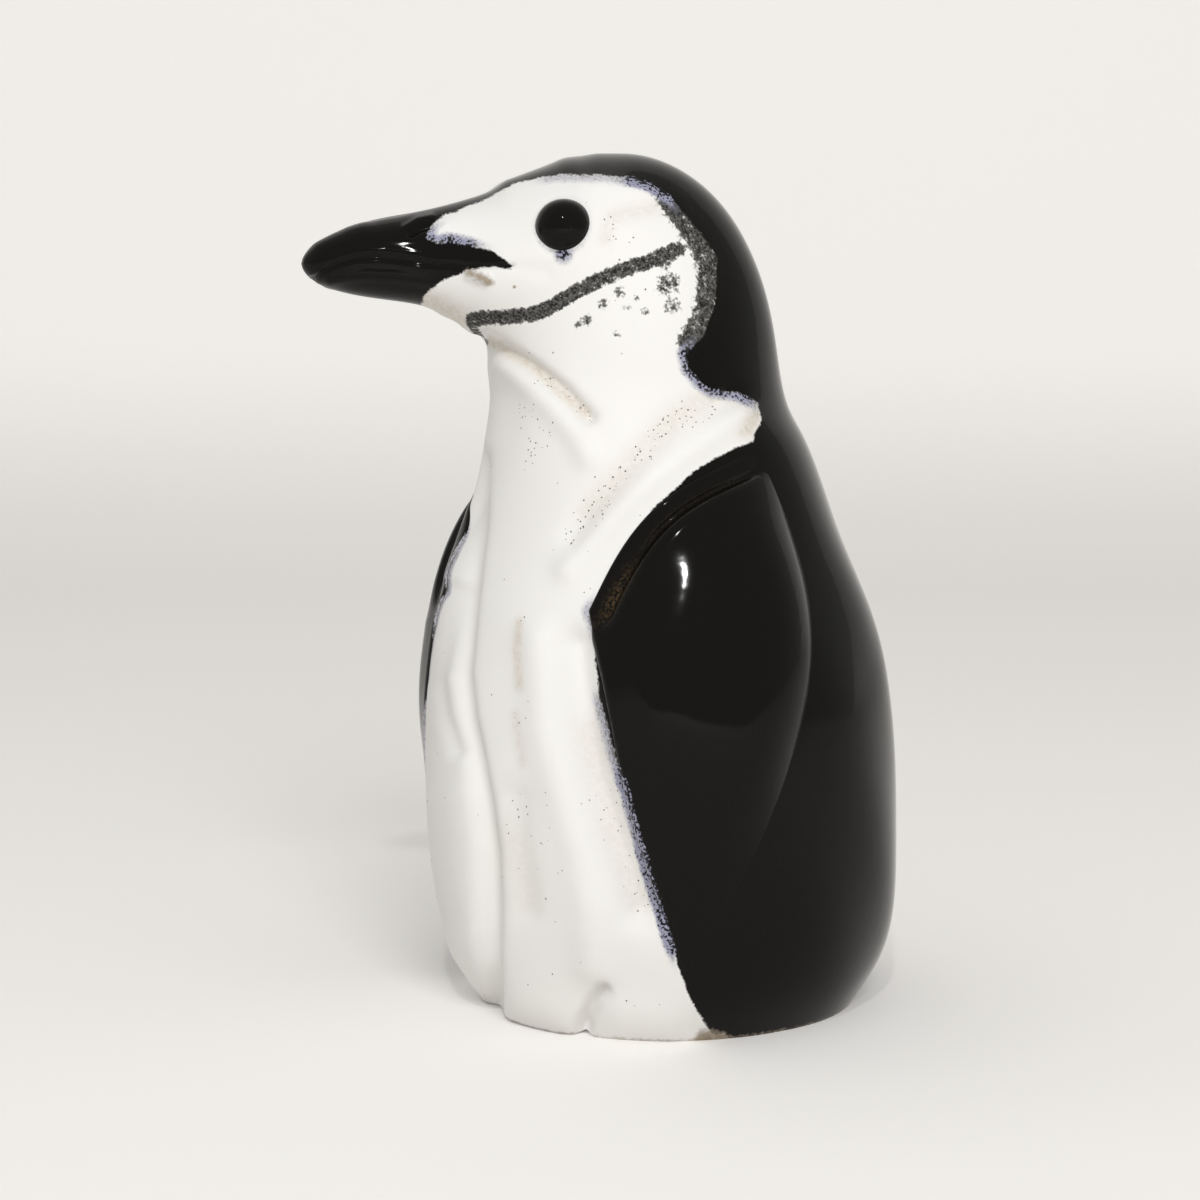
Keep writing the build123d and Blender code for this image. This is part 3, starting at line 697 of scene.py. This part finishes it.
def slabObject():
    turn = np.linspace(0, 2 * math.pi, slab["turns"], endpoint=False)
    spine = smoothThrough(ovals, knots, np.array([0.0]))[0]
    halfY, halfX = (np.linalg.norm(spine[i]) - form["wall"] - slab["gap"] for i in (1, 2))
    ray = np.stack([np.cos(turn), np.sin(turn)], -1)
    vent = np.array([0.0, slab["ventBack"]])
    # reach of each ray from the vent to the oval inside of the hem
    x0, y0 = 0.0, slab["ventBack"] - spine[0][1]
    a = (ray[:, 0] / halfX) ** 2 + (ray[:, 1] / halfY) ** 2
    b = 2 * (x0 * ray[:, 0] / halfX ** 2 + y0 * ray[:, 1] / halfY ** 2)
    c = (x0 / halfX) ** 2 + (y0 / halfY) ** 2 - 1
    reach = (-b + np.sqrt(b * b - 4 * a * c)) / (2 * a)
    low, high = slab["recess"], slab["recess"] + slab["thickness"]
    out = np.linspace(0, 1, slab["steps"])
    radius = slab["ventRadius"] + (reach[None, :] - slab["ventRadius"]) * out[:, None]
    spots = vent + radius[..., None] * ray
    nearEdge = np.minimum(radius - slab["ventRadius"], reach - radius)
    uneven = 0.10 * np.sin(0.5 * spots[..., 0] + 0.3) * np.sin(0.45 * spots[..., 1])
    under = low + slab["lift"] + uneven * ease(nearEdge, 0, 2)
    under = under + slab["edgeRound"] * (1 - roundOver(nearEdge, slab["edgeRound"]))
    rows = [np.concatenate([spots[i], under[i][:, None]], 1) for i in range(slab["steps"])]
    rows += [np.concatenate([spots[i], np.full((slab["turns"], 1), high)], 1)
             for i in reversed(range(slab["steps"]))]
    faces = [quad[::-1] for quad in gridFaces(len(rows), slab["turns"])]
    base = (len(rows) - 1) * slab["turns"]
    faces += [(c, (c + 1) % slab["turns"], base + (c + 1) % slab["turns"], base + c)
              for c in range(slab["turns"])]
    return meshObject("base_plate", np.concatenate(rows), faces)


basePlate = slabObject()
print("base plate:", len(basePlate.data.polygons))


# materials
def hexColour(text):
    parts = [int(text[i:i + 2], 16) / 255 for i in (1, 3, 5)]
    return tuple(p / 12.92 if p <= 0.04045 else ((p + 0.055) / 1.055) ** 2.4 for p in parts) + (1.0,)


def addNode(tree, kind, settings=None, links=None):
    # settings: attributes or input values; links: input to (node, output)
    node = tree.nodes.new(kind)
    for key, value in (settings or {}).items():
        if isinstance(key, str) and hasattr(node, key):
            setattr(node, key, value)
        else:
            node.inputs[key].default_value = value
    for key, (source, output) in (links or {}).items():
        tree.links.new(source.outputs[output], node.inputs[key])
    return node


def perMm(size):
    return 1 / (size * mm)


def makeGlaze():
    # stoneware glaze, fired glossy: black brushed over white, broken to blue-grey foam where it runs thin
    material = bpy.data.materials.new("glazed_stoneware")
    material.use_nodes = True
    tree = material.node_tree
    tree.nodes.clear()
    out = addNode(tree, "ShaderNodeOutputMaterial")
    place = addNode(tree, "ShaderNodeTexCoord")
    read = {key: addNode(tree, "ShaderNodeAttribute", dict(attribute_name=key))
            for key in ("black", "brushed", "fringe", "stainAndShade", "clay", "paintedHighlight")}
    sizes = dict(broad=(14, 2, 0.5), coarse=(2.4, 3, 0.5), speck=(0.62, 3, 0.6), fine=(0.34, 2, 0.5))  # mm, detail
    noise = {key: addNode(tree, "ShaderNodeTexNoise", {"Scale": perMm(size), "Detail": detail, "Roughness": rough},
                          {"Vector": (place, "Object")}) for key, (size, detail, rough) in sizes.items()}
    speck = addNode(tree, "ShaderNodeMapRange", {"From Min": 0.32, "From Max": 0.68},
                    {"Value": (noise["speck"], "Fac")})
    # soft ragged border of the black, with a speckled band of foam where it runs thin
    sway = addNode(tree, "ShaderNodeMath", {"operation": "MULTIPLY_ADD", 1: 0.7, 2: -0.35},
                   {0: (noise["coarse"], "Fac")})
    grain = addNode(tree, "ShaderNodeMath", {"operation": "MULTIPLY_ADD", 1: 0.5, 2: -0.25},
                    {0: (noise["fine"], "Fac")})
    ragged = addNode(tree, "ShaderNodeMath", {"operation": "ADD"}, {0: (read["black"], "Fac"), 1: (sway, 0)})
    edge = addNode(tree, "ShaderNodeMath", {"operation": "ADD"}, {0: (ragged, 0), 1: (grain, 0)})
    withdraw = addNode(tree, "ShaderNodeMath", {"operation": "MULTIPLY_ADD", 1: -0.35},
                       {0: (read["fringe"], "Fac"), 2: (edge, 0)})
    blackMask = addNode(tree, "ShaderNodeMapRange", {"interpolation_type": "SMOOTHSTEP", "From Min": -0.14,
                                                     "From Max": 0.14}, {"Value": (withdraw, 0)})
    foamReach = addNode(tree, "ShaderNodeMapRange", {"interpolation_type": "SMOOTHSTEP", "From Min": -1.15,
                                                     "From Max": -0.35}, {"Value": (edge, 0)})
    foamMask = addNode(tree, "ShaderNodeMath", {"operation": "MULTIPLY", "use_clamp": True},
                       {0: (foamReach, 0), 1: (read["fringe"], "Fac")})
    denser = addNode(tree, "ShaderNodeMapRange", {"From Min": -1.0, "From Max": 0.5, "To Min": 0.66, "To Max": 0.4},
                     {"Value": (edge, 0)})
    overSpeck = addNode(tree, "ShaderNodeMath", {"operation": "SUBTRACT"},
                        {0: (noise["fine"], "Fac"), 1: (denser, 0)})
    foamSpeck = addNode(tree, "ShaderNodeMapRange", {"From Min": -0.02, "From Max": 0.05},
                        {"Value": (overSpeck, 0)})
    foamTone = addNode(tree, "ShaderNodeMix", {"data_type": "RGBA", 6: hexColour("#9899AD"), 7: hexColour("#1C1B20")},
                       {0: (foamSpeck, 0)})
    # dry-brushed strap, spots and nape: how much of the white is covered
    dab = addNode(tree, "ShaderNodeMix", {0: 0.55}, {2: (speck, 0), 3: (noise["fine"], "Fac")})
    cover = addNode(tree, "ShaderNodeMath", {"operation": "MULTIPLY_ADD", 1: 1.1, 2: -1.08}, {0: (dab, 0)})
    covered = addNode(tree, "ShaderNodeMath", {"operation": "ADD"},
                      {0: (cover, 0), 1: (read["brushed"], "Fac")})
    brushMask = addNode(tree, "ShaderNodeMapRange", {"interpolation_type": "SMOOTHSTEP", "From Min": -0.1,
                                                     "From Max": 0.28}, {"Value": (covered, 0)})
    fineTone = addNode(tree, "ShaderNodeMapRange", {"From Min": 0.4, "From Max": 0.75},
                       {"Value": (noise["fine"], "Fac")})
    brushTone = addNode(tree, "ShaderNodeMix", {"data_type": "RGBA", 6: hexColour("#232322"), 7: hexColour("#74726E")},
                        {0: (fineTone, 0)})
    # white, turned tan by stains and by painted shade in the creases and hollows
    white = addNode(tree, "ShaderNodeMix", {"data_type": "RGBA", 6: hexColour("#F1F0EE"), 7: hexColour("#EAE8E4")},
                    {0: (noise["broad"], "Fac")})
    uneven = addNode(tree, "ShaderNodeMath", {"operation": "MULTIPLY_ADD", 1: 0.6, 2: 0.35}, {0: (speck, 0)})
    stainAndShadeMask = addNode(tree, "ShaderNodeMath", {"operation": "MULTIPLY"},
                        {0: (read["stainAndShade"], "Fac"), 1: (uneven, 0)})
    stainedAndShaded = addNode(tree, "ShaderNodeMix", {"data_type": "RGBA", 7: hexColour("#BBA98C")},
                      {0: (stainAndShadeMask, 0), 6: (white, 2)})
    brushed = addNode(tree, "ShaderNodeMix", {"data_type": "RGBA"},
                      {0: (brushMask, 0), 6: (stainedAndShaded, 2), 7: (brushTone, 2)})
    foamed = addNode(tree, "ShaderNodeMix", {"data_type": "RGBA"},
                     {0: (foamMask, 0), 6: (brushed, 2), 7: (foamTone, 2)})
    # black, with a bronze painted highlight along the flipper's incised line
    paintedHighlightMask = addNode(tree, "ShaderNodeMath", {"operation": "MULTIPLY"},
                         {0: (read["paintedHighlight"], "Fac"), 1: (fineTone, 0)})
    blackTone = addNode(tree, "ShaderNodeMix", {"data_type": "RGBA", 6: hexColour("#0E0D0B"), 7: hexColour("#665238")},
                        {0: (paintedHighlightMask, 0)})
    glazed = addNode(tree, "ShaderNodeMix", {"data_type": "RGBA"},
                     {0: (blackMask, 0), 6: (foamed, 2), 7: (blackTone, 2)})
    worn = addNode(tree, "ShaderNodeMath", {"operation": "MULTIPLY_ADD", 1: 0.7, 2: -0.85}, {0: (speck, 0)})
    clayMask = addNode(tree, "ShaderNodeMath", {"operation": "MULTIPLY_ADD", 1: 1.7, "use_clamp": True},
                       {0: (read["clay"], "Fac"), 2: (worn, 0)})
    clayTone = addNode(tree, "ShaderNodeMix", {"data_type": "RGBA", 6: hexColour("#857A6C"), 7: hexColour("#AA9D8C")},
                       {0: (speck, 0)})
    final = addNode(tree, "ShaderNodeMix", {"data_type": "RGBA"},
                    {0: (clayMask, 0), 6: (glazed, 2), 7: (clayTone, 2)})
    # gloss: wet-looking black, softer white, dry brushwork and clay
    dry = addNode(tree, "ShaderNodeMath", {"operation": "MAXIMUM"}, {0: (brushMask, 0), 1: (clayMask, 0)})
    gloss = addNode(tree, "ShaderNodeMapRange", {"To Min": 0.4, "To Max": 0.07}, {"Value": (blackMask, 0)})
    rough = addNode(tree, "ShaderNodeMath", {"operation": "MULTIPLY_ADD", 1: 0.3},
                    {0: (dry, 0), 2: (gloss, 0)})
    peel = addNode(tree, "ShaderNodeBump", {"Strength": 0.3, "Distance": 0.03 * mm},
                   {"Height": (noise["coarse"], "Fac")})
    shader = addNode(tree, "ShaderNodeBsdfPrincipled", {"IOR": 1.5, "Specular IOR Level": 0.13},
                     {"Base Color": (final, 2), "Roughness": (rough, 0), "Normal": (peel, 0)})
    tree.links.new(shader.outputs[0], out.inputs[0])
    return material


def makeBareClay():
    # unglazed stoneware, wiped with a sponge: buff, matt, with fine grog and iron flecks
    material = bpy.data.materials.new("bare_stoneware")
    material.use_nodes = True
    tree = material.node_tree
    shader = tree.nodes["Principled BSDF"]
    place = addNode(tree, "ShaderNodeTexCoord")
    patch = addNode(tree, "ShaderNodeTexNoise", {"Scale": perMm(9), "Detail": 3.0},
                    {"Vector": (place, "Object")})
    grog = addNode(tree, "ShaderNodeTexNoise", {"Scale": perMm(0.5), "Detail": 3.0},
                   {"Vector": (place, "Object")})
    buff = addNode(tree, "ShaderNodeMix", {"data_type": "RGBA", 6: hexColour("#B79F84"), 7: hexColour("#9C8268")},
                   {0: (patch, "Fac")})
    fleck = addNode(tree, "ShaderNodeMapRange", {"From Min": 0.62, "From Max": 0.72},
                    {"Value": (grog, "Fac")})
    tone = addNode(tree, "ShaderNodeMix", {"data_type": "RGBA", 7: hexColour("#5E4430")},
                   {0: (fleck, 0), 6: (buff, 2)})
    grain = addNode(tree, "ShaderNodeBump", {"Strength": 0.5, "Distance": 0.08 * mm},
                    {"Height": (grog, "Fac")})
    shader.inputs["Roughness"].default_value = 0.85
    tree.links.new(tone.outputs[2], shader.inputs["Base Color"])
    tree.links.new(grain.outputs[0], shader.inputs["Normal"])
    return material


def makeIronSpeck():
    # iron in the clay bled through pinholes in the glaze: brown-black dots
    material = bpy.data.materials.new("iron_pinholes")
    material.use_nodes = True
    tree = material.node_tree
    shader = tree.nodes["Principled BSDF"]
    place = addNode(tree, "ShaderNodeTexCoord")
    patch = addNode(tree, "ShaderNodeTexNoise", {"Scale": perMm(1.5)}, {"Vector": (place, "Object")})
    tone = addNode(tree, "ShaderNodeMix", {"data_type": "RGBA", 6: hexColour("#2E241B"), 7: hexColour("#6A5642")},
                   {0: (patch, "Fac")})
    shader.inputs["Roughness"].default_value = 0.5
    tree.links.new(tone.outputs[2], shader.inputs["Base Color"])
    return material


glaze, bareClay, ironSpeck = makeGlaze(), makeBareClay(), makeIronSpeck()


# pinholes scattered over the white by density
pinhole = dict(radius=0.085, flatness=0.35, smallest=0.55, largest=1.35, seed=7)


def makePinholes():
    tree = bpy.data.node_groups.new("glaze_pinholes", "GeometryNodeTree")
    tree.interface.new_socket("Geometry", in_out="INPUT", socket_type="NodeSocketGeometry")
    inputs = {key: tree.interface.new_socket(key, in_out="INPUT", socket_type=kind)
              for key, kind in (("Radius", "NodeSocketFloat"), ("Flatness", "NodeSocketVector"),
                                ("Smallest", "NodeSocketFloat"), ("Largest", "NodeSocketFloat"),
                                ("Seed", "NodeSocketInt"))}
    tree.interface.new_socket("Geometry", in_out="OUTPUT", socket_type="NodeSocketGeometry")
    given = addNode(tree, "NodeGroupInput")
    density = addNode(tree, "GeometryNodeInputNamedAttribute", {"data_type": "FLOAT", "Name": "pits"})
    spread = addNode(tree, "GeometryNodeDistributePointsOnFaces", {"distribute_method": "RANDOM"},
                     {"Mesh": (given, "Geometry"), "Density": (density, "Attribute"), "Seed": (given, "Seed")})
    bead = addNode(tree, "GeometryNodeMeshUVSphere", {"Segments": 8, "Rings": 5},
                   {"Radius": (given, "Radius")})
    flat = addNode(tree, "GeometryNodeTransform", None, {"Geometry": (bead, "Mesh"), "Scale": (given, "Flatness")})
    size = addNode(tree, "FunctionNodeRandomValue", {"data_type": "FLOAT"},
                   {2: (given, "Smallest"), 3: (given, "Largest"), "Seed": (given, "Seed")})
    placed = addNode(tree, "GeometryNodeInstanceOnPoints", None,
                     {"Points": (spread, "Points"), "Instance": (flat, "Geometry"), "Rotation": (spread, "Rotation"),
                      "Scale": (size, 1)})
    solid = addNode(tree, "GeometryNodeRealizeInstances", None, {"Geometry": (placed, "Instances")})
    dyed = addNode(tree, "GeometryNodeSetMaterial", {"Material": ironSpeck},
                   {"Geometry": (solid, "Geometry")})
    out = addNode(tree, "NodeGroupOutput")
    tree.links.new(dyed.outputs["Geometry"], out.inputs["Geometry"])
    carrier = meshObject("pit_carrier", outer[:rootRow + 1].reshape(-1, 3),
                         gridFaces(rootRow + 1, skin["columns"]), None, dict(pits=pits[:rootRow + 1].reshape(-1) / mm ** 2))
    modifier = carrier.modifiers.new("pinholes", "NODES")
    modifier.node_group = tree
    values = dict(Radius=pinhole["radius"] * mm, Flatness=(1.0, 1.0, pinhole["flatness"]),
                  Smallest=pinhole["smallest"], Largest=pinhole["largest"], Seed=pinhole["seed"])
    for key, value in values.items():
        modifier[inputs[key].identifier] = value
    bpy.context.view_layer.update()
    mesh = bpy.data.meshes.new_from_object(carrier.evaluated_get(bpy.context.evaluated_depsgraph_get()))
    carrier.modifiers.clear()
    bpy.data.objects.remove(carrier)
    mesh.name = "glaze_pinholes"
    mesh.materials.clear()  # the bead brings an empty slot along
    mesh.materials.append(ironSpeck)
    mesh.polygons.foreach_set("material_index", np.zeros(len(mesh.polygons), np.int32))
    mesh.polygons.foreach_set("use_smooth", np.ones(len(mesh.polygons), bool))
    piece = bpy.data.objects.new("glaze_pinholes", mesh)
    bpy.context.scene.collection.objects.link(piece)
    return piece


pinholes = makePinholes()
print("pinholes:", len(pinholes.data.polygons) // 40, "materials", [m.name for m in pinholes.data.materials])

for piece, nodes, slotName, material in (
        (body, ("body_shell",), "white_glaze", glaze), (head, ("head_shell",), "white_glaze", glaze),
        (leftFlipper, ("left_flipper",), "black_glaze", glaze),
        (rightFlipper, ("right_flipper",), "black_glaze", glaze),
        (upperBill, ("upper_bill",), "black_glaze", glaze), (lowerBill, ("lower_bill",), "black_glaze", glaze),
        (leftEye, ("left_eye",), "black_glaze", glaze), (rightEye, ("right_eye",), "black_glaze", glaze),
        (tailPiece, ("tail",), "black_glaze", glaze), (basePlate, ("base_slab",), "bare_clay", bareClay),
        (pinholes, (), "bare_clay", None)):
    if material:
        piece.data.materials.append(material)
    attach(piece, "root")
    if nodes:
        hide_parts(*nodes)


# studio: pale sweep, a small lamp over the camera for glints, a large soft one beside it, and a pale surround
studio = dict(sweep="#F3F1EE", sweepGlow=0.3, surround="#F6F5F3", surroundStrength=0.54,
              glintPower=1.4, glintSize=0.038, glintPlace=(-0.05, 0.75, 0.67),
              softPower=3.5, softSize=0.35, softPlace=(0.14, 0.78, 0.48))  # metres right, forward and up


def makeSweep():
    bend = np.linspace(0, math.pi / 2, 14)[1:]
    depth = np.concatenate([np.linspace(-1.2, 0.5, 8), 0.5 + 0.4 * np.sin(bend), np.full(4, 0.9)])
    rise = np.concatenate([np.zeros(8), 0.4 - 0.4 * np.cos(bend), np.linspace(0.6, 1.6, 4)])
    points = []
    for d, z in zip(depth, rise):
        for side in (-1.6, 1.6):
            points.append(-shotBack * d * np.array([1, 1, 0]) + shotRight * side + up * z)
    sweep = meshObject("sweep", np.array(points) / mm, gridFaces(len(depth), 2, closed=False))
    material = bpy.data.materials.new("paper_sweep")
    material.use_nodes = True
    shader = material.node_tree.nodes["Principled BSDF"]
    shader.inputs["Roughness"].default_value = 0.9
    shader.inputs["Specular IOR Level"].default_value = 0.1
    # a little glow, so that the paper comes out near white to the eye and in the gloss
    shader.inputs["Base Color"].default_value = hexColour(studio["sweep"])
    shader.inputs["Emission Color"].default_value = hexColour(studio["sweep"])
    tree = material.node_tree
    path = addNode(tree, "ShaderNodeLightPath")
    plainly = addNode(tree, "ShaderNodeMath", {"operation": "ADD"},
                      {0: (path, "Is Camera Ray"), 1: (path, "Is Glossy Ray")})
    either = addNode(tree, "ShaderNodeMath", {"operation": "ADD", "use_clamp": True},
                     {0: (plainly, 0), 1: (path, "Is Transmission Ray")})
    place = addNode(tree, "ShaderNodeTexCoord")
    axes = addNode(tree, "ShaderNodeSeparateXYZ", None, {0: (place, "Object")})
    # the backdrop gets less of the lamp than the floor
    rising = addNode(tree, "ShaderNodeMapRange", {"interpolation_type": "SMOOTHSTEP", "From Max": 0.08,
                                                  "To Min": 0.13, "To Max": studio["sweepGlow"]}, {"Value": (axes, "Z")})
    glow = addNode(tree, "ShaderNodeMath", {"operation": "MULTIPLY"}, {0: (either, 0), 1: (rising, 0)})
    tree.links.new(glow.outputs[0], shader.inputs["Emission Strength"])
    sweep.data.materials.append(material)
    return sweep


def addLight(name, place, aim, size, power):
    data = bpy.data.lights.new(name, "AREA")
    data.shape = "DISK"
    data.size = size
    data.energy = power
    light = bpy.data.objects.new(name, data)
    light.location = place
    light.rotation_mode = "QUATERNION"
    light.rotation_quaternion = (Vector(aim) - Vector(place)).to_track_quat("-Z", "Y")
    bpy.context.scene.collection.objects.link(light)
    return light


makeSweep()
aim = Vector((0, 0, 0.055))
right, back = Vector(shotRight), Vector((shotBack[0], shotBack[1], 0)).normalized()
lamps = {}
for name in ("glint", "soft"):
    aside, forward, height = studio[name + "Place"]
    place = aim + back * forward + right * aside + Vector((0, 0, height))
    lamps[name] = addLight(name, place, aim, studio[name + "Size"], studio[name + "Power"])
lamps["soft"].visible_glossy = False  # no pale disc in the black
world = bpy.data.worlds.new("surround")
bpy.context.scene.world = world
world.use_nodes = True
world.node_tree.nodes["Background"].inputs["Color"].default_value = hexColour(studio["surround"])
world.node_tree.nodes["Background"].inputs["Strength"].default_value = studio["surroundStrength"]
bpy.context.scene.view_settings.view_transform = "Standard"
